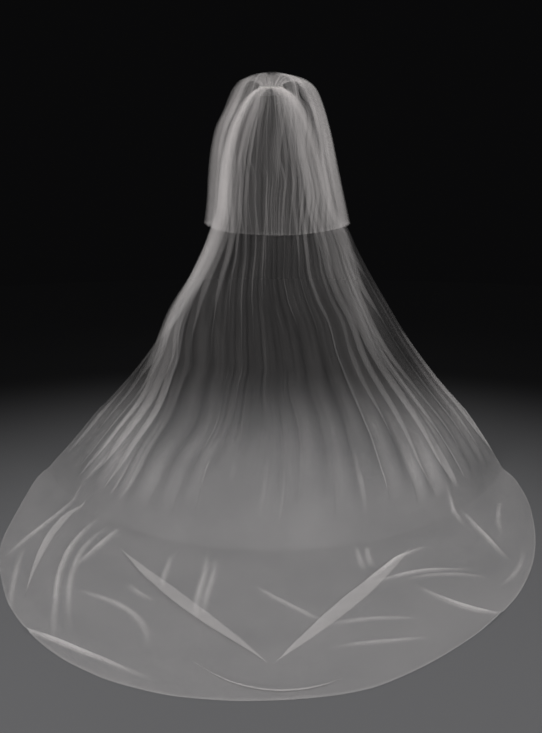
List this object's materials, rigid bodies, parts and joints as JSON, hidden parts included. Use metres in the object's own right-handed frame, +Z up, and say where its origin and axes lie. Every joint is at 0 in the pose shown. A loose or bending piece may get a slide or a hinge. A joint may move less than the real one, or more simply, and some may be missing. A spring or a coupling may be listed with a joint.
{
  "type": "bridal veil",
  "caption": "Two-tier bridal veil of plain sheer tulle gathered on a comb, in its worn hollow pose: a short tier over the back and a long tier spread on the floor as an oval train.",
  "frame": {"origin": "middle of the comb's band at the crown, where the wearer's hair holds the veil, 1.63 m above the floor", "axes": "+Z up, +Y the way the wearer faces, so the train runs along -Y; +X to the right seen from behind"},
  "size_m": [2.052, 2.2119, 1.6943],
  "materials": {
    "tulle": "sheer soft net, matt, warm white",
    "ribbon": "satin ribbon, warm white",
    "comb_metal": "bright silver wire"
  },
  "bodies": {
    "root": {"comb": "comb_metal", "gather_band": "ribbon", "long_tier_fall": "tulle", "long_tier_train": "tulle", "short_tier": "tulle"}
  },
  "joints": []
}
